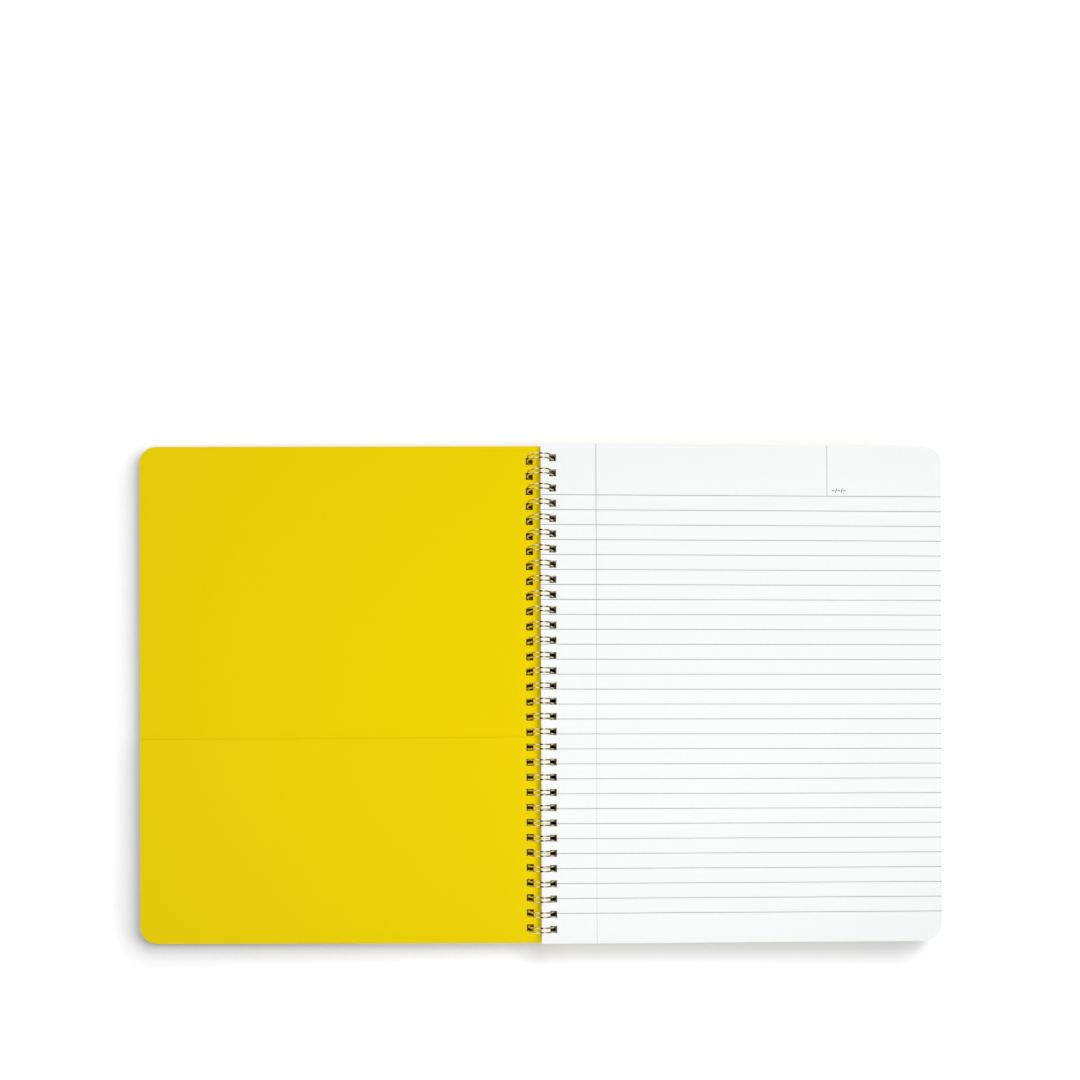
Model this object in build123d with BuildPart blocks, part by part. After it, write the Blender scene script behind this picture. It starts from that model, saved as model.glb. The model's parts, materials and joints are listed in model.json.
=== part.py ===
import math
import os

from build123d import *

os.makedirs("parts", exist_ok=True)

# Leaves: a thick block of ruled sheets between two card covers
cover_w = 225.5
cover_h = 279.4
cover_t = 0.6
corner_r = 9.5
block_t = 8.0
page_inset_w = 0.5
page_inset_h = 0.6

# Pocket: a thin card panel over the lower part of the front cover's inner face, its top edge slightly askew
pocket_h = 115.0
pocket_rise = 1.0
pocket_t = 0.25

# Binding: one wire bent into hairpin loops on a standard pitch of three to the inch
loop_pitch = 8.4667
wire_d = 0.9
twin_gap = 2.44
wire_corner = 0.6
ring_play = 4.45
hole_play = 0.33
ring_facets = 11
wire_sides = 5
seam_half_angle = 6.0

# Air between the pieces, so that every leaf turns freely on the rings
leaf_gap = 0.2
spine_gap = 0.55
edge_gap = 0.1

# The closed stack sets the ring's size, and lies a little low in it
stack_t = block_t + 2 * cover_t + pocket_t + 2 * leaf_gap
ring_r = (stack_t + ring_play + wire_d) / 2
stack_drop = (cover_t + spine_gap) / 2
back_low = -stack_t / 2 - stack_drop
back_high = back_low + cover_t
page_low = back_high + leaf_gap
page_high = page_low + block_t
pocket_depth = page_high + leaf_gap
front_depth = pocket_depth + pocket_t
front_low = front_depth + cover_t

# Each ring is a polygon that weaves evenly inside and outside the true circle
corner_angle = math.degrees(wire_corner / ring_r)
facet_angle = (360 - 2 * seam_half_angle - 2 * corner_angle) / ring_facets
facet_half = math.cos(math.radians(facet_angle / 2))
ring_out_r = 2 * ring_r / (1 + facet_half)
ring_reach = ring_out_r + wire_d / 2
axis_z = ring_out_r * math.cos(math.radians(seam_half_angle)) + wire_d / 2

# Punched holes, square, placed where the rings pass through each leaf
hole_side = twin_gap + wire_d + 2 * hole_play
front_mid = (pocket_depth + front_low) / 2
back_mid = (back_low + back_high) / 2
front_hole = math.sqrt(ring_r**2 - front_mid**2)
back_hole = math.sqrt(ring_r**2 - back_mid**2)
page_hole = ring_reach + hole_play - hole_side / 2
front_edge = edge_gap
page_edge = edge_gap
back_edge = back_hole - (front_hole - front_edge)
page_w = cover_w - page_inset_w
page_h = cover_h - 2 * page_inset_h
loop_count = int(page_h // loop_pitch)

# Opened flat, both sides slope from the rings down to the table at their fore edges
front_reach = front_edge + cover_w
back_reach = back_edge + cover_w
front_slope = math.asin(axis_z / math.hypot(front_reach, front_low)) - math.atan2(front_low, front_reach)
back_slope = math.asin(axis_z / math.hypot(back_reach, back_low)) - math.atan2(-back_low, back_reach)

left_run = (-math.cos(front_slope), 0, -math.sin(front_slope))
left_up = (-math.sin(front_slope), 0, math.cos(front_slope))
right_run = (math.cos(back_slope), 0, -math.sin(back_slope))
right_up = (math.sin(back_slope), 0, math.cos(back_slope))
left_leaf = Plane(origin=(0, 0, axis_z), x_dir=left_run, z_dir=left_up)
right_leaf = Plane(origin=(0, 0, axis_z), x_dir=right_run, z_dir=right_up)

def punched_leaf(edge, width, height, hole):
    """Outline of a leaf, spine to fore edge along x: rounded fore corners and a row of punched holes."""
    with BuildSketch() as leaf:
        with Locations((edge + width / 2, 0)):
            Rectangle(width, height)
        fillet(leaf.vertices().sort_by(Axis.X)[-2:], corner_r)
        with Locations((hole, 0)):
            with GridLocations(loop_pitch, loop_pitch, 1, loop_count):
                Rectangle(hole_side, hole_side, mode=Mode.SUBTRACT)
    return leaf.sketch


# Front cover, laid open to the left with its inner face up
with BuildPart() as front_cover:
    with BuildSketch(left_leaf.offset(-front_low)):
        add(punched_leaf(front_edge, cover_w, cover_h, front_hole))
    extrude(amount=cover_t)

# Pocket panel, glued to the cover round three sides and open along its top edge
pocket_foot = cover_h / 2
pocket_fore_top = pocket_foot - pocket_h
pocket_spine_top = pocket_fore_top - pocket_rise
with BuildPart() as pocket_panel:
    with BuildSketch(left_leaf.offset(-front_depth)):
        add(punched_leaf(front_edge, cover_w, cover_h, front_hole))
        with BuildLine():
            Polyline(
                (front_edge, pocket_foot),
                (front_reach, pocket_foot),
                (front_reach, pocket_fore_top),
                (front_edge, pocket_spine_top),
                close=True,
            )
        make_face(mode=Mode.INTERSECT)
    extrude(amount=pocket_t)

# Page block, all the ruled sheets squared up as one stack
with BuildPart() as page_block:
    with BuildSketch(right_leaf.offset(page_low)):
        add(punched_leaf(page_edge, page_w, page_h, page_hole))
    extrude(amount=block_t)

# Back cover, under the pages
with BuildPart() as back_cover:
    with BuildSketch(right_leaf.offset(back_low)):
        add(punched_leaf(back_edge, cover_w, cover_h, back_hole))
    extrude(amount=cover_t)


def on_ring(angle, along):
    """Point on the wire's centre line, at an angle round the ring and a place along the spine."""
    turn = math.radians(angle)
    return (ring_out_r * math.cos(turn), along, axis_z + ring_out_r * math.sin(turn))


# One loop of the wire: up from the base run, round the ring, across the tip and back
root_angle = -90 + seam_half_angle
tip_angle = 270 - seam_half_angle
ring_angles = [root_angle + corner_angle + facet_angle * i for i in range(ring_facets + 1)]
twin = twin_gap / 2
loop_path = [on_ring(root_angle, -loop_pitch / 2), on_ring(root_angle, -twin - wire_corner)]
loop_path += [on_ring(a, -twin) for a in ring_angles]
loop_path += [on_ring(tip_angle, -twin + wire_corner), on_ring(tip_angle, twin - wire_corner)]
loop_path += [on_ring(a, twin) for a in reversed(ring_angles)]
loop_path += [on_ring(root_angle, twin + wire_corner), on_ring(root_angle, loop_pitch / 2)]

with BuildPart() as wire_loop:
    with BuildLine() as loop_line:
        Polyline(*loop_path)
    with BuildSketch(Plane(origin=loop_path[0], z_dir=(0, 1, 0))):
        RegularPolygon(wire_d / 2, wire_sides)
    sweep(path=loop_line.line, transition=Transition.RIGHT)

# The whole binding wire: the loops follow on from each other along the spine
with BuildPart() as binding_wire:
    with GridLocations(loop_pitch, loop_pitch, 1, loop_count):
        add(wire_loop.part)

front_cover.part.label = "front_cover"
pocket_panel.part.label = "pocket_panel"
page_block.part.label = "page_block"
back_cover.part.label = "back_cover"
binding_wire.part.label = "binding_wire"

export_step(front_cover.part, "parts/front_cover.step")
export_step(pocket_panel.part, "parts/pocket_panel.step")
export_step(page_block.part, "parts/page_block.step")
export_step(back_cover.part, "parts/back_cover.step")
export_step(binding_wire.part, "parts/binding_wire.step")
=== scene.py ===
import json
import math
import random

import bpy
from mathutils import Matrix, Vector
from mathutils.geometry import tessellate_polygon


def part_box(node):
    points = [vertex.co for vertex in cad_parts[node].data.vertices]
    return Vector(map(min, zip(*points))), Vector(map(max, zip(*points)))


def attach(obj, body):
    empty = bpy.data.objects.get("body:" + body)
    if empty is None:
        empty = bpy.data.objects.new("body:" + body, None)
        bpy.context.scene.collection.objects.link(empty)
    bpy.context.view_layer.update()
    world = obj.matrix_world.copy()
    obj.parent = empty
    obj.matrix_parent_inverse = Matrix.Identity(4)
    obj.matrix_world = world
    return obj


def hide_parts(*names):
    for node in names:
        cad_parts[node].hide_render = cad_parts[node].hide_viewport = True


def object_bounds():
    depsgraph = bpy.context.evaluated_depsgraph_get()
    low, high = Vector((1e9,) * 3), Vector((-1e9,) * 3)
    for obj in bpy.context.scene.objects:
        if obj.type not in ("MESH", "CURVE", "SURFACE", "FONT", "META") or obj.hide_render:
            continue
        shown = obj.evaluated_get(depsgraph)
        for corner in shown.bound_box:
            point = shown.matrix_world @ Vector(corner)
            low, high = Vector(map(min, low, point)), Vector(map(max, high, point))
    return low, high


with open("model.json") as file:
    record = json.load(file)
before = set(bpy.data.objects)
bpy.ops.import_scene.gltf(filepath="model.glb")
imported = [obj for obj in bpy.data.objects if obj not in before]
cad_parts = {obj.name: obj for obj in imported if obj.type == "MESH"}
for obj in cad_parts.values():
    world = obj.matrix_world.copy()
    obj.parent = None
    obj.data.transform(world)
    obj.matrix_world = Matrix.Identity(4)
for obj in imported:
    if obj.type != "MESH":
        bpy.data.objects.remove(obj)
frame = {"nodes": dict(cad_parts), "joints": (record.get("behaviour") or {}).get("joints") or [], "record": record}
cad_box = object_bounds()
nodes = frame["nodes"]
scene = bpy.context.scene
scene.view_settings.view_transform = "Standard"

MM = 0.001

# Binding wire: pitch, spacing and seam as in the solids, with round wire and smooth bends
LOOP_PITCH = 8.4667 * MM
TWIN_GAP = 2.44 * MM
WIRE_R = 0.45 * MM
WIRE_SIDES = 14
BASE_BEND_R = 0.8 * MM
RING_STEP = math.radians(6)
BEND_STEPS = 6
SEAM_HALF_ANGLE = math.radians(6)

# Paper stack: single sheets with air between them, slipped a little at the edges
SHEET_COUNT = 80
SHEET_FILL_SHARE = 0.86
SHEET_SLIP_X = 0.28 * MM
SHEET_SLIP_Y = 0.14 * MM
SLIP_SEED = 7
CORNER_R = 9.5 * MM
CORNER_STEPS = 10
HOLE_SIDE = 4.0 * MM
HOLE_ZONE = 12.0 * MM

# Print on the page, measured from its head and its spine edge
RULE_COUNT = 29
RULE_TOP = 28.5 * MM
RULE_GAP = 8.32 * MM
RULE_W = 0.33 * MM
MARGIN_X = 30.5 * MM
MARGIN_W = 0.26 * MM
MARGIN_FADE_START = 48.0 * MM
MARGIN_FADE_END = 138.0 * MM
DATE_X = 160.3 * MM
DATE_MARK_IN = 2.8 * MM
DATE_MARK_UP = 2.0 * MM
DATE_MARK_H = 2.3 * MM
DATE_MARK_W = 0.42 * MM
DATE_MARK_STEP = 3.2 * MM
DATE_DASHES = 3
DATE_DASH = 1.5 * MM
DATE_SLASH = 0.7 * MM
INK_T = 0.02 * MM

# Pocket's mouth: how far its top edge slants, and the width of the painted shade line along it
POCKET_SLANT = 2.0 * MM
MOUTH_W = 0.3 * MM

# Colours of the finishes
COVER_YELLOW = (0.835, 0.63, 0.0)
POCKET_YELLOW = (0.835, 0.63, 0.001)
# Painted shade: a darker yellow line laid on the cover along the pocket's mouth, standing in for the shade of its
# edge
MOUTH_SHADE_YELLOW = (0.72, 0.54, 0.0)
PAPER_WHITE = (0.918, 0.935, 0.927)
# Painted shade: the paper edges inside the punched holes are coloured dark brown, standing in for the shade deep
# in the holes
PAINTED_HOLE_SHADE_BROWN = (0.16, 0.14, 0.11)
WIRE_GOLD = (0.72, 0.60, 0.29)
RULE_GREY = (0.27, 0.28, 0.27)
MARGIN_GREY = (0.18, 0.18, 0.18)
MARGIN_FADED_GREY = (0.62, 0.62, 0.62)
DATE_GREY = (0.05, 0.05, 0.05)
WHITE = (1.0, 1.0, 1.0, 1.0)

# Grain of the finishes: each noise is given by its scale per metre, detail and roughness
NOISE_RANGE = (0.3, 0.7)
CARD_FLECKS = (1100.0, 5.0, 0.7)
CARD_FLECK_SHADE = 0.975
CARD_SHEEN = (900.0, 2.0, 0.5)
CARD_ROUGHNESS = (0.40, 0.50)
CARD_SPECULAR = 0.04
CARD_FIBRES = (2600.0, 4.0, 0.6)
CARD_FIBRE_STRENGTH = 0.12
CARD_FIBRE_DEPTH = 0.05 * MM
PAPER_MOTTLE = (420.0, 5.0, 0.65)
PAPER_MOTTLE_SHADE = 0.985
PAPER_SHEEN = (1500.0, 2.0, 0.5)
PAPER_ROUGHNESS = (0.72, 0.86)
PAPER_SPECULAR = 0.12
PAPER_FIBRES = (3200.0, 4.0, 0.7)
PAPER_FIBRE_STRENGTH = 0.15
PAPER_FIBRE_DEPTH = 0.04 * MM
WIRE_PATCHES = (260.0, 3.0, 0.5)
WIRE_PATCH_SHADE = 0.88
WIRE_POLISH = (1400.0, 3.0, 0.5)
WIRE_ROUGHNESS = (0.07, 0.12)
WIRE_MARKS = (5200.0, 2.0, 0.5)
WIRE_MARK_STRENGTH = 0.06
WIRE_MARK_DEPTH = 0.02 * MM
INK_MOTTLE = (800.0, 4.0, 0.6)
INK_PALE_SHARE = 1.18
INK_ROUGHNESS = 0.8
FADING_INK_ROUGHNESS = (0.7, 0.9)
INK_SPECULAR = 0.1

# Picture: square, seen from straight above, with the lens's centre below the middle
PICTURE_PX = 1080
FOCAL_PX = 1030.9
CENTRE_Y_PX = 777.5
CAMERA_AT = Vector((-12.26, -46.66, 584.36)) * MM
CAMERA_YAW = math.radians(-1.129)
CAMERA_ROLL = math.radians(-0.152)
SENSOR_MM = 36.0

# Floor: painted shade under the binding, and lifted to white for the eye, less near the object than far off
FLOOR_REACH = 6.0
FLOOR_DROP = 0.3 * MM
FLOOR_COLOUR = (0.92, 0.92, 0.92)
FLOOR_ROUGHNESS = 0.9
# Painted shade: dark brown colour of the floor under the binding
FLOOR_PAINTED_SHADE_COLOUR = (0.20, 0.14, 0.07)
FLOOR_PAINTED_SHADE_EDGE = 1.0 * MM
FLOOR_LIFT_NEAR = 0.23
FLOOR_LIFT_FAR = 0.9
FLOOR_LIFT_FADE = 120 * MM

# Soft shade on the floor, where the object stands close by in the direction of the lean
LEE_LEAN = (0.486, 0.304, -0.82)
LEE_REACH = 20 * MM
LEE_END_SHARE = 1.1
LEE_DEPTH_LEFT = 0.80
LEE_DEPTH_RIGHT = 0.48
LEE_TURN = 20 * MM
LEE_POWER = 16
LEE_SAMPLES = 128

# Light: banks in the surround as (sideways, level), a sun as key and a spot as fill, in metres and watts
BANK_LEVELS = (
    (-1.0, 0.06), (-0.80, 0.25), (-0.62, 1.0), (-0.28, 1.0), (-0.23, 0.0),
    (0.14, 0.0), (0.18, 1.0), (0.38, 1.0), (0.55, 0.10), (1.0, 0.06),
)
BANK_LIGHT = 1.35
KEY_FROM = (0.52, 0.95, 1.0)
KEY_AIM = (0.0, 0.0, 0.0)
KEY_LIGHT = 1.05
KEY_SPREAD = math.radians(30)
FILL_AT = (0.315, -1.10, 1.00)
FILL_AIM = (0.085, 0.048, 0.0)
FILL_RADIUS = 0.12
FILL_CONE = math.radians(18)
FILL_BLEND = 1.0
FILL_STRETCH = 2.0
FILL_POWER = 28.2

# Places of a Mix node's colour sockets, which share their names with its other sockets
MIX_FACTOR = 0
MIX_FIRST = 6
MIX_SECOND = 7
MIX_RESULT = 2

# Faces of a flat bar: four corners below, anticlockwise from above, then the same four above
BAR_FACES = ((3, 2, 1, 0), (4, 5, 6, 7), (0, 1, 5, 4), (1, 2, 6, 5), (2, 3, 7, 6), (3, 0, 4, 7))


# The pages turn about the ring axis, and lie on a slope that their writing face gives
hinges = {j["name"]: j for j in frame["joints"]}
axis_at = Vector(hinges["page_hinge"]["pos_m"])
writing_face = next(m for m in frame["record"]["mounts"] if m["name"] == "writing_face")
page_up = Vector(writing_face["axis"]).normalized()
page_run = Vector((page_up.z, 0, -page_up.x))


def on_page(run, along, height):
    """Point of the page side: distance from the axis, place along the spine, height over the axis."""
    return axis_at + page_run * run + Vector((0, along, 0)) + page_up * height


# Edges of the page block and its holes, and the places of the loops, from the solids
page_points = [v.co - axis_at for v in nodes["page_block"].data.vertices]
page_runs = sorted(p.dot(page_run) for p in page_points)
page_heights = sorted(p.dot(page_up) for p in page_points)
page_alongs = sorted(p.y for p in page_points)
page_edge, page_fore = page_runs[0], page_runs[-1]
page_low, page_high = page_heights[0], page_heights[-1]
page_foot, page_head = page_alongs[0], page_alongs[-1]
hole_runs = [r for r in page_runs if page_edge + WIRE_R < r < HOLE_ZONE]
hole_near, hole_far = hole_runs[0], hole_runs[-1]
wire_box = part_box("binding_wire")
loop_count = round((wire_box[1].y - wire_box[0].y) / LOOP_PITCH)
loop_places = [(i - (loop_count - 1) / 2) * LOOP_PITCH for i in range(loop_count)]


def new_piece(name, points, faces, material, body, smooth=False):
    """Mesh piece in the frame's own place, riding on a body."""
    mesh = bpy.data.meshes.new(name)
    mesh.from_pydata([tuple(p) for p in points], [], faces)
    mesh.validate()
    mesh.update()
    if smooth:
        mesh.polygons.foreach_set("use_smooth", [True] * len(mesh.polygons))
    mesh.materials.append(material)
    piece = bpy.data.objects.new(name, mesh)
    scene.collection.objects.link(piece)
    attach(piece, body)
    return piece


class MaterialNodes:
    """Short hand for building a material's nodes."""

    def __init__(self, name):
        self.material = bpy.data.materials.new(name)
        self.material.use_nodes = True
        self.tree = self.material.node_tree
        self.shader = self.tree.nodes["Principled BSDF"]

    def add(self, kind, **settings):
        """A new node with its settings."""
        node = self.tree.nodes.new(kind)
        for key, value in settings.items():
            setattr(node, key, value)
        return node

    def link(self, out, into):
        """Joins an output to an input."""
        self.tree.links.new(out, into)

    def put(self, value, into):
        """Fills an input with a number or with another node's output."""
        if isinstance(value, bpy.types.NodeSocket):
            self.link(value, into)
        else:
            into.default_value = value

    def place(self):
        """Outputs X, Y and Z of the point, in the object's own metres."""
        split = self.add("ShaderNodeSeparateXYZ")
        self.link(self.add("ShaderNodeTexCoord").outputs["Object"], split.inputs["Vector"])
        return split.outputs

    def maths(self, operation, *values):
        """Result of one step of maths on numbers or outputs."""
        step = self.add("ShaderNodeMath", operation=operation)
        for value, into in zip(values, step.inputs):
            self.put(value, into)
        return step.outputs["Value"]

    def mapped(self, value, before=(0.0, 1.0), after=(0.0, 1.0), curve="LINEAR"):
        """An output mapped from one range to another."""
        ranged = self.add("ShaderNodeMapRange", interpolation_type=curve)
        self.link(value, ranged.inputs["Value"])
        ends = ("From Min", "From Max", "To Min", "To Max")
        for end, limit in zip(ends, (*before, *after)):
            self.put(limit, ranged.inputs[end])
        return ranged.outputs["Result"]

    def noise(self, scale, detail, roughness):
        """Noise in the object's own metres, as a value output."""
        noise = self.add("ShaderNodeTexNoise")
        noise.inputs["Scale"].default_value = scale
        noise.inputs["Detail"].default_value = detail
        noise.inputs["Roughness"].default_value = roughness
        self.link(self.add("ShaderNodeTexCoord").outputs["Object"], noise.inputs["Vector"])
        return noise.outputs["Fac"]

    def grain(self, noise, low=0.0, high=1.0):
        """A noise stretched to fill a range."""
        return self.mapped(self.noise(*noise), NOISE_RANGE, (low, high))

    def blend(self, factor, low, high):
        """Two colours mixed by a factor output."""
        mix = self.add("ShaderNodeMix", data_type="RGBA")
        mix.inputs[MIX_FIRST].default_value = (*low, 1)
        mix.inputs[MIX_SECOND].default_value = (*high, 1)
        self.link(factor, mix.inputs[MIX_FACTOR])
        return mix.outputs[MIX_RESULT]

    def bump(self, height, strength, distance):
        """Fine relief on the shader's normal."""
        bump = self.add("ShaderNodeBump")
        bump.inputs["Strength"].default_value = strength
        bump.inputs["Distance"].default_value = distance
        self.link(height, bump.inputs["Height"])
        self.link(bump.outputs["Normal"], self.shader.inputs["Normal"])


def scaled(colour, share):
    """A colour made darker or paler by a share."""
    return [min(1.0, part * share) for part in colour]


def card_material(name, colour):
    """Smooth coated card: fine fibre flecks in the colour and a fibre grain under a low sheen."""
    card = MaterialNodes(name)
    inputs = card.shader.inputs
    flecked = card.blend(card.grain(CARD_FLECKS), scaled(colour, CARD_FLECK_SHADE), colour)
    card.link(flecked, inputs["Base Color"])
    card.link(card.grain(CARD_SHEEN, *CARD_ROUGHNESS), inputs["Roughness"])
    inputs["Specular IOR Level"].default_value = CARD_SPECULAR
    card.bump(card.noise(*CARD_FIBRES), CARD_FIBRE_STRENGTH, CARD_FIBRE_DEPTH)
    return card.material


def paper_material(name, colour):
    """Uncoated writing paper: soft fibres and a very faint mottle."""
    paper = MaterialNodes(name)
    inputs = paper.shader.inputs
    mottled = paper.blend(paper.grain(PAPER_MOTTLE), scaled(colour, PAPER_MOTTLE_SHADE), colour)
    paper.link(mottled, inputs["Base Color"])
    paper.link(paper.grain(PAPER_SHEEN, *PAPER_ROUGHNESS), inputs["Roughness"])
    inputs["Specular IOR Level"].default_value = PAPER_SPECULAR
    paper.bump(paper.noise(*PAPER_FIBRES), PAPER_FIBRE_STRENGTH, PAPER_FIBRE_DEPTH)
    return paper.material


def wire_material(name, colour):
    """Bright gold wire: metal with slight drawing marks and uneven polish."""
    wire = MaterialNodes(name)
    inputs = wire.shader.inputs
    patchy = wire.blend(wire.grain(WIRE_PATCHES), scaled(colour, WIRE_PATCH_SHADE), colour)
    wire.link(patchy, inputs["Base Color"])
    wire.link(wire.grain(WIRE_POLISH, *WIRE_ROUGHNESS), inputs["Roughness"])
    inputs["Metallic"].default_value = 1.0
    wire.bump(wire.noise(*WIRE_MARKS), WIRE_MARK_STRENGTH, WIRE_MARK_DEPTH)
    return wire.material


def ink_material(name, colour):
    """Thin grey print, a little uneven where the paper takes it."""
    ink = MaterialNodes(name)
    inputs = ink.shader.inputs
    uneven = ink.blend(ink.grain(INK_MOTTLE), colour, scaled(colour, INK_PALE_SHARE))
    ink.link(uneven, inputs["Base Color"])
    inputs["Roughness"].default_value = INK_ROUGHNESS
    inputs["Specular IOR Level"].default_value = INK_SPECULAR
    return ink.material


def fading_ink_material(name, colour, faded):
    """Print that grows paler from the head of the page towards its foot."""
    ink = MaterialNodes(name)
    inputs = ink.shader.inputs
    fade_span = (page_head - MARGIN_FADE_END, page_head - MARGIN_FADE_START)
    strong = ink.mapped(ink.place()["Y"], fade_span, curve="SMOOTHSTEP")
    ink.link(ink.blend(strong, faded, colour), inputs["Base Color"])
    ink.link(ink.grain(INK_MOTTLE, *FADING_INK_ROUGHNESS), inputs["Roughness"])
    inputs["Specular IOR Level"].default_value = INK_SPECULAR
    return ink.material


cover_card = card_material("yellow_cover_card", COVER_YELLOW)
pocket_card = card_material("yellow_pocket_card", POCKET_YELLOW)
# Card with painted shade, for the line along the pocket's mouth
mouth_shade_card = card_material("painted_mouth_shade", MOUTH_SHADE_YELLOW)
white_paper = paper_material("white_paper", PAPER_WHITE)
# Paper with painted shade, for the rims of the punched holes
painted_shade_paper = paper_material("painted_shade_punched_edges", PAINTED_HOLE_SHADE_BROWN)
gold_wire = wire_material("gold_wire", WIRE_GOLD)
grey_ink = ink_material("grey_ink", RULE_GREY)
margin_ink = fading_ink_material("margin_ink", MARGIN_GREY, MARGIN_FADED_GREY)
dark_ink = ink_material("dark_ink", DATE_GREY)


def dress(node, material):
    """Gives a kept solid its finish."""
    nodes[node].data.materials.clear()
    nodes[node].data.materials.append(material)


dress("front_cover", cover_card)
dress("back_cover", cover_card)
dress("pocket_panel", pocket_card)


def arc(centre, radius, start, end, steps):
    """Points of an arc in a plane, both ends included."""
    turns = [start + (end - start) * i / steps for i in range(steps + 1)]
    return [(centre[0] + radius * math.cos(a), centre[1] + radius * math.sin(a)) for a in turns]


def loop_plan(ring_r):
    """One loop unrolled flat: (round the ring, along the spine), from base run to base run."""
    reach = (2 * math.pi - 2 * SEAM_HALF_ANGLE) * ring_r
    half = TWIN_GAP / 2
    straight = reach - half - BASE_BEND_R
    steps = round(straight / ring_r / RING_STEP)
    climb = [(BASE_BEND_R + straight * i / steps, -half) for i in range(1, steps)]
    rise = arc((BASE_BEND_R, -half - BASE_BEND_R), BASE_BEND_R, math.pi, math.pi / 2, BEND_STEPS)
    tip = arc((reach - half, 0), half, -math.pi / 2, math.pi / 2, 2 * BEND_STEPS)
    out = [(0, -LOOP_PITCH / 2)] + rise + climb + tip
    back = [(a, -y) for a, y in reversed(rise + climb)]
    return out + back


def build_wire():
    """The whole binding wire as one smooth round tube wound on the rings. It shades no leaf."""
    ring_r = wire_box[1].z - axis_at.z - WIRE_R
    start = -math.pi / 2 + SEAM_HALF_ANGLE
    plan = loop_plan(ring_r)
    path = [(a, y + place) for place in loop_places for a, y in plan]
    path.append((0, loop_places[-1] + LOOP_PITCH / 2))
    centres = []
    outward = []
    for a, y in path:
        turn = start + a / ring_r
        radial = Vector((math.cos(turn), 0, math.sin(turn)))
        outward.append(radial)
        centres.append(axis_at + radial * ring_r + Vector((0, y, 0)))
    points = []
    faces = []
    last = len(centres) - 1
    for i, (centre, radial) in enumerate(zip(centres, outward)):
        tangent = (centres[min(i + 1, last)] - centres[max(i - 1, 0)]).normalized()
        side = tangent.cross(radial).normalized()
        for k in range(WIRE_SIDES):
            turn = 2 * math.pi * k / WIRE_SIDES
            points.append(centre + (radial * math.cos(turn) + side * math.sin(turn)) * WIRE_R)
    for i in range(last):
        for k in range(WIRE_SIDES):
            here = i * WIRE_SIDES
            after = here + WIRE_SIDES
            n = (k + 1) % WIRE_SIDES
            faces.append((here + k, here + n, after + n, after + k))
    faces.append(tuple(reversed(range(WIRE_SIDES))))
    faces.append(tuple(range(last * WIRE_SIDES, (last + 1) * WIRE_SIDES)))
    wire = new_piece("gold_binding_wire", points, faces, gold_wire, "binding", smooth=True)
    wire.visible_shadow = False
    wire.visible_diffuse = False
    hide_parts("binding_wire")


def sheet_outline():
    """Loops of a sheet in (run, along): the rounded outer edge, then each punched hole."""
    head = arc((page_fore - CORNER_R, page_head - CORNER_R), CORNER_R, math.pi / 2, 0, CORNER_STEPS)
    foot = arc((page_fore - CORNER_R, page_foot + CORNER_R), CORNER_R, 0, -math.pi / 2, CORNER_STEPS)
    outer = [(page_edge, page_foot), (page_edge, page_head)] + head + foot
    half = HOLE_SIDE / 2
    loops = [outer]
    for place in loop_places:
        low, high = place - half, place + half
        loops.append([(hole_near, low), (hole_far, low), (hole_far, high), (hole_near, high)])
    return loops


def build_sheets():
    """The stack of sheets, each slipped a little from its neighbours at the edges."""
    loops = sheet_outline()
    flat = [p for loop in loops for p in loop]
    tris = tessellate_polygon([[Vector((x, y, 0)) for x, y in loop] for loop in loops])
    rims = []
    first = 0
    for loop in loops:
        rims += [(first + i, first + (i + 1) % len(loop)) for i in range(len(loop))]
        first += len(loop)
    outer_rims = len(loops[0])
    pitch = (page_high - page_low) / SHEET_COUNT
    thick = pitch * SHEET_FILL_SHARE
    slips = random.Random(SLIP_SEED)
    white, shaded = 0, 1
    points = []
    faces = []
    finishes = []
    for i in range(SHEET_COUNT):
        outermost = i in (0, SHEET_COUNT - 1)
        slip_x = 0 if outermost else -slips.random() * SHEET_SLIP_X
        slip_y = 0 if outermost else (slips.random() * 2 - 1) * SHEET_SLIP_Y
        top = page_high - pitch * i
        bottom = page_low if i == SHEET_COUNT - 1 else top - thick
        under = len(points)
        over = under + len(flat)
        points += [on_page(x + slip_x, y + slip_y, bottom) for x, y in flat]
        points += [on_page(x + slip_x, y + slip_y, top) for x, y in flat]
        for a, b, c in tris:
            p, q, r = flat[a], flat[b], flat[c]
            turn = (q[0] - p[0]) * (r[1] - p[1]) - (q[1] - p[1]) * (r[0] - p[0])
            up, down = ((a, b, c), (c, b, a)) if turn > 0 else ((c, b, a), (a, b, c))
            faces.append(tuple(over + k for k in up))
            faces.append(tuple(under + k for k in down))
        faces += [(under + b, under + a, over + a, over + b) for a, b in rims]
        finishes += [white] * (2 * len(tris) + outer_rims)
        # The rims of the punched holes take the paper with painted shade
        finishes += [shaded] * (len(rims) - outer_rims)
    sheets = new_piece("page_sheets", points, faces, white_paper, "pages")
    sheets.data.materials.append(painted_shade_paper)
    sheets.data.polygons.foreach_set("material_index", finishes)
    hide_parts("page_block")


def strip(points, faces, start, end, width, height, side):
    """Adds a thin flat bar of ink between two (run, along) places of a page face."""
    (x0, y0), (x1, y1) = start, end
    length = math.hypot(x1 - x0, y1 - y0)
    across = (-(y1 - y0) / length * width / 2, (x1 - x0) / length * width / 2)
    ring = [(x0 - across[0], y0 - across[1]), (x1 - across[0], y1 - across[1])]
    ring += [(x1 + across[0], y1 + across[1]), (x0 + across[0], y0 + across[1])]
    base = len(points)
    points += [on_page(x, y, height - side * INK_T / 2) for x, y in ring]
    points += [on_page(x, y, height + side * INK_T / 2) for x, y in ring]
    for face in BAR_FACES:
        order = face if side > 0 else tuple(reversed(face))
        faces.append(tuple(base + k for k in order))


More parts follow.
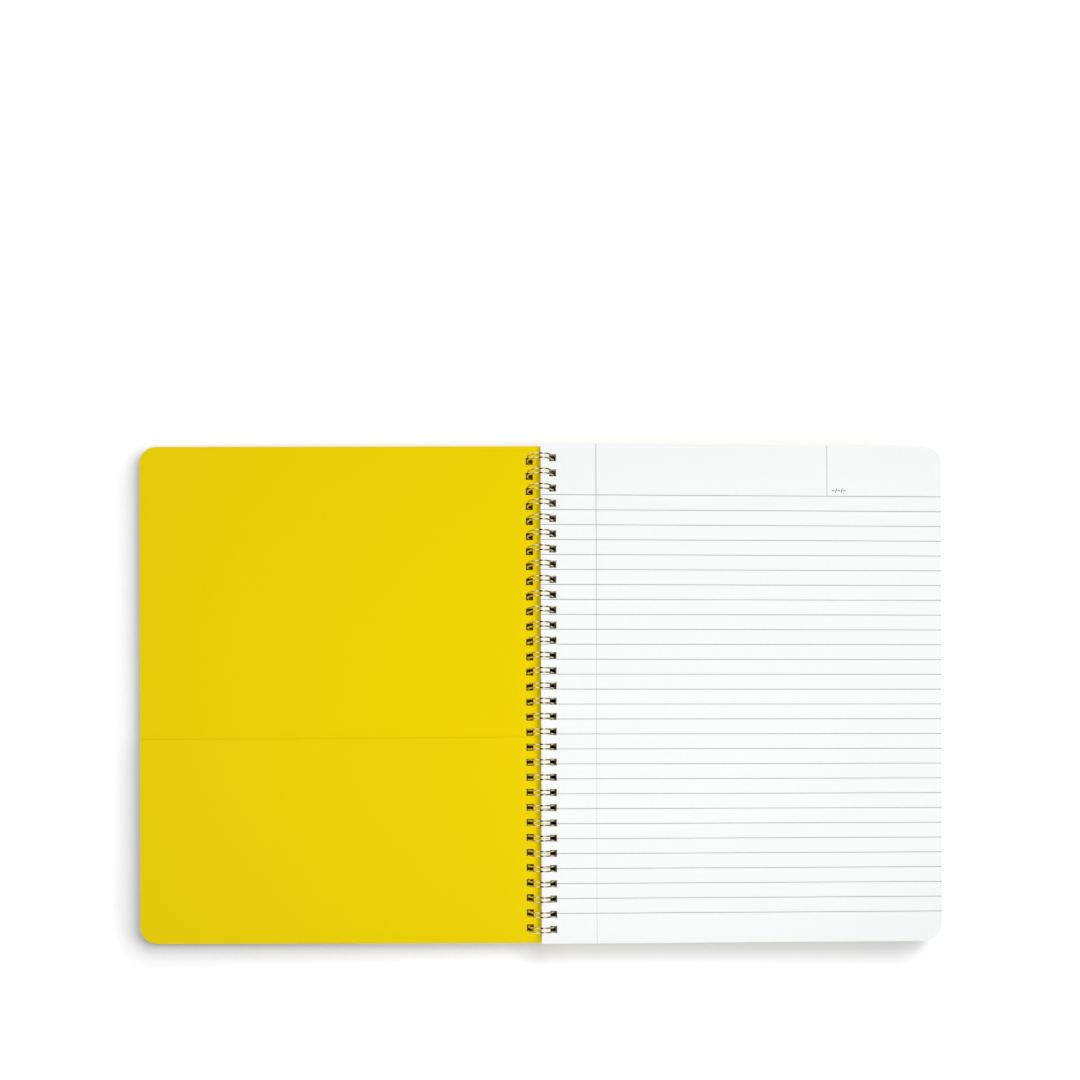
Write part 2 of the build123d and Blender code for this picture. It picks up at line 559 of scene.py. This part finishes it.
def rule_stretches(along):
    """Ends of a rule's stretches. It is broken where it meets a punched hole."""
    reach = HOLE_SIDE / 2 + RULE_W
    if any(abs(along - place) < reach for place in loop_places):
        return [(page_edge, hole_near), (hole_far, page_fore)]
    return [(page_edge, page_fore)]


def date_strokes(run, foot):
    """Strokes of an empty date slot: short dashes with a slash between each two."""
    middle = foot + DATE_MARK_H / 2
    strokes = []
    for i in range(DATE_DASHES):
        dash = run + i * DATE_MARK_STEP
        strokes.append(((dash, middle), (dash + DATE_DASH, middle)))
        if i < DATE_DASHES - 1:
            slash = dash + (DATE_DASH + DATE_MARK_STEP - DATE_SLASH) / 2
            strokes.append(((slash, foot), (slash + DATE_SLASH, foot + DATE_MARK_H)))
    return strokes


def build_rules():
    """Rules and margin line on the first page and the last page's back, and the first page's date slot."""
    sides = ((1, page_high), (-1, page_low))
    top_rule = page_head - RULE_TOP
    date = page_edge + DATE_X
    points = []
    faces = []
    for side, height in sides:
        for i in range(RULE_COUNT):
            along = top_rule - RULE_GAP * i
            for start, end in rule_stretches(along):
                strip(points, faces, (start, along), (end, along), RULE_W, height, side)
    strip(points, faces, (date, top_rule), (date, page_head), MARGIN_W, page_high, 1)
    new_piece("page_rules", points, faces, grey_ink, "pages")
    points = []
    faces = []
    margin = page_edge + MARGIN_X
    for side, height in sides:
        strip(points, faces, (margin, page_foot), (margin, page_head), MARGIN_W, height, side)
    new_piece("margin_line", points, faces, margin_ink, "pages")
    points = []
    faces = []
    for start, end in date_strokes(date + DATE_MARK_IN, top_rule + DATE_MARK_UP):
        strip(points, faces, start, end, DATE_MARK_W, page_high, 1)
    new_piece("date_slot_mark", points, faces, dark_ink, "pages")


def build_pocket_mouth():
    """A fine line of painted shade along the pocket's top edge, darker yellow like a cut card edge, from the fore
    edge to the spine.
    """
    points = [v.co for v in nodes["pocket_panel"].data.vertices]
    head = max(p.y for p in points)
    mouth = [p for p in points if p.y > head - POCKET_SLANT]
    middle = cad_box[0].x / 2
    fore = max((p for p in mouth if p.x < middle), key=lambda p: p.z)
    spine = max((p for p in mouth if p.x > middle), key=lambda p: p.z)
    run = (spine - fore).normalized()
    down = Vector((run.y, -run.x, 0)).normalized()
    up = down.cross(run).normalized()
    corners = [fore + down * MOUTH_W, spine + down * MOUTH_W, spine, fore]
    bar = [c - up * INK_T / 2 for c in corners] + [c + up * INK_T / 2 for c in corners]
    new_piece("pocket_mouth_shade_line", bar, BAR_FACES, mouth_shade_card, "front")


build_wire()
build_sheets()
build_rules()
build_pocket_mouth()


def seen_by_eye(pale):
    """One for rays that the eye follows, straight, mirrored or through glass, else zero."""
    path = pale.add("ShaderNodeLightPath").outputs
    straight_or_mirrored = pale.maths("MAXIMUM", path["Is Camera Ray"], path["Is Glossy Ray"])
    return pale.maths("MAXIMUM", straight_or_mirrored, path["Is Transmission Ray"])


def outside_box(pale, box, unit):
    """How far a point of the floor lies outside a box, seen from above and counted in a unit of length."""
    low, high = box
    place = pale.place()
    outside = pale.add("ShaderNodeCombineXYZ")
    for axis, near, far in (("X", low.x, high.x), ("Y", low.y, high.y)):
        before = pale.maths("MULTIPLY_ADD", place[axis], -1 / unit, near / unit)
        beyond = pale.maths("MULTIPLY_ADD", place[axis], 1 / unit, -far / unit)
        further = pale.maths("MAXIMUM", before, beyond)
        pale.link(pale.maths("MAXIMUM", further, 0.0), outside.inputs[axis])
    distance = pale.add("ShaderNodeVectorMath", operation="LENGTH")
    pale.link(outside.outputs["Vector"], distance.inputs[0])
    return distance.outputs["Value"]


def lee_shade(pale):
    """Soft contact shade on the side away from the lamps, by how much of its outlook the object hides."""
    outlook = pale.add("ShaderNodeAmbientOcclusion", samples=LEE_SAMPLES)
    outside = outside_box(pale, cad_box, LEE_REACH)
    sight = pale.mapped(outside, (1.0, LEE_END_SHARE), (LEE_REACH, 0.0), "SMOOTHSTEP")
    pale.link(sight, outlook.inputs["Distance"])
    lean = pale.add("ShaderNodeCombineXYZ")
    for axis, part in zip("XYZ", LEE_LEAN):
        lean.inputs[axis].default_value = part
    pale.link(lean.outputs["Vector"], outlook.inputs["Normal"])
    open_share = pale.maths("POWER", outlook.outputs["AO"], LEE_POWER)
    darkest_span = (1 - LEE_DEPTH_LEFT, 1 - LEE_DEPTH_RIGHT)
    darkest = pale.mapped(pale.place()["X"], (-LEE_TURN, LEE_TURN), darkest_span, "SMOOTHSTEP")
    return pale.mapped(open_share, after=(darkest, 1.0))


def floor_material():
    """Pale floor, white to the eye, with a soft shade by the object and painted shade under the binding."""
    pale = MaterialNodes("pale_floor")
    inputs = pale.shader.inputs
    inputs["Roughness"].default_value = FLOOR_ROUGHNESS
    inputs["Specular IOR Level"].default_value = 0.0
    inputs["Emission Color"].default_value = WHITE
    # Painted shade: under the binding the floor turns dark brown and gets no lift, so the punched holes look into
    # deep shade
    outside_painted_shade = pale.mapped(outside_box(pale, wire_box, FLOOR_PAINTED_SHADE_EDGE), curve="SMOOTHSTEP")
    colour = pale.blend(outside_painted_shade, FLOOR_PAINTED_SHADE_COLOUR, FLOOR_COLOUR)
    shade = lee_shade(pale)
    shaded = pale.add("ShaderNodeVectorMath", operation="SCALE")
    pale.link(colour, shaded.inputs[0])
    pale.link(shade, shaded.inputs["Scale"])
    pale.link(shaded.outputs["Vector"], inputs["Base Color"])
    away = outside_box(pale, cad_box, FLOOR_LIFT_FADE)
    lift = pale.mapped(away, after=(FLOOR_LIFT_NEAR, FLOOR_LIFT_FAR), curve="SMOOTHSTEP")
    open_lift = pale.maths("MULTIPLY", lift, outside_painted_shade)
    pale.link(pale.maths("MULTIPLY", open_lift, shade), inputs["Emission Strength"])
    plain = pale.add("ShaderNodeBsdfDiffuse")
    pale.link(colour, plain.inputs["Color"])
    either = pale.add("ShaderNodeMixShader")
    pale.link(seen_by_eye(pale), either.inputs["Fac"])
    pale.link(plain.outputs["BSDF"], either.inputs[1])
    pale.link(pale.shader.outputs["BSDF"], either.inputs[2])
    pale.link(either.outputs["Shader"], pale.tree.nodes["Material Output"].inputs["Surface"])
    return pale.material


def build_floor():
    """Large flat floor, a little below the object."""
    reach = FLOOR_REACH
    corners = [(-reach, -reach), (reach, -reach), (reach, reach), (-reach, reach)]
    mesh = bpy.data.meshes.new("floor")
    mesh.from_pydata([(x, y, -FLOOR_DROP) for x, y in corners], [], [(0, 1, 2, 3)])
    mesh.materials.append(floor_material())
    floor = bpy.data.objects.new("floor", mesh)
    scene.collection.objects.link(floor)


def bank_light(tree):
    """Light from two long soft banks, left and right of the object."""
    place = tree.nodes.new("ShaderNodeTexCoord")
    split = tree.nodes.new("ShaderNodeSeparateXYZ")
    across = tree.nodes.new("ShaderNodeMapRange")
    across.inputs["From Min"].default_value = -1.0
    banks = tree.nodes.new("ShaderNodeValToRGB")
    tree.links.new(place.outputs["Generated"], split.inputs["Vector"])
    tree.links.new(split.outputs["X"], across.inputs["Value"])
    tree.links.new(across.outputs["Result"], banks.inputs["Fac"])
    while len(banks.color_ramp.elements) < len(BANK_LEVELS):
        banks.color_ramp.elements.new(1.0)
    for element, (sideways, level) in zip(banks.color_ramp.elements, BANK_LEVELS):
        element.position = (1 + sideways) / 2
        element.color = (level, level, level, 1)
    light = tree.nodes.new("ShaderNodeBackground")
    light.inputs["Strength"].default_value = BANK_LIGHT
    tree.links.new(banks.outputs["Color"], light.inputs["Color"])
    return light


def build_world():
    """Surround: white to the eye, while its banks light the object and are mirrored in the wire."""
    world = bpy.data.worlds.new("studio")
    scene.world = world
    world.use_nodes = True
    tree = world.node_tree
    tree.nodes.clear()
    white = tree.nodes.new("ShaderNodeBackground")
    white.inputs["Color"].default_value = WHITE
    path = tree.nodes.new("ShaderNodeLightPath")
    shown = bank_light(tree)
    for name in ("Is Transmission Ray", "Is Camera Ray"):
        mix = tree.nodes.new("ShaderNodeMixShader")
        tree.links.new(path.outputs[name], mix.inputs["Fac"])
        tree.links.new(shown.outputs[0], mix.inputs[1])
        tree.links.new(white.outputs[0], mix.inputs[2])
        shown = mix
    out = tree.nodes.new("ShaderNodeOutputWorld")
    tree.links.new(shown.outputs[0], out.inputs["Surface"])


def place_lamp(data, place, aim, stretch=1.0):
    """Adds a lamp that faces a point. It lights the object but isn't itself mirrored in the wire."""
    lamp = bpy.data.objects.new(data.name, data)
    scene.collection.objects.link(lamp)
    lamp.location = place
    lamp.rotation_euler = (Vector(place) - Vector(aim)).to_track_quat("Z", "Y").to_euler()
    lamp.scale.x = stretch
    lamp.visible_glossy = False


def build_lamps():
    """A broad soft key from the far side, and a wide soft pool of fill from the near side."""
    key = bpy.data.lights.new("key_lamp", "SUN")
    key.energy = KEY_LIGHT
    key.angle = KEY_SPREAD
    place_lamp(key, KEY_FROM, KEY_AIM)
    fill = bpy.data.lights.new("fill_lamp", "SPOT")
    fill.energy = FILL_POWER
    fill.shadow_soft_size = FILL_RADIUS
    fill.spot_size = FILL_CONE
    fill.spot_blend = FILL_BLEND
    place_lamp(fill, FILL_AT, FILL_AIM, FILL_STRETCH)


def build_camera():
    """Straight down on the open book, with the frame reaching further above it than below."""
    data = bpy.data.cameras.new("camera")
    data.sensor_width = SENSOR_MM
    data.lens = SENSOR_MM * FOCAL_PX / PICTURE_PX
    data.shift_y = (CENTRE_Y_PX - PICTURE_PX / 2) / PICTURE_PX
    camera = bpy.data.objects.new("camera", data)
    scene.collection.objects.link(camera)
    camera.location = CAMERA_AT
    camera.rotation_euler = (0, CAMERA_YAW, CAMERA_ROLL)
    scene.camera = camera


build_floor()
build_world()
build_lamps()
build_camera()
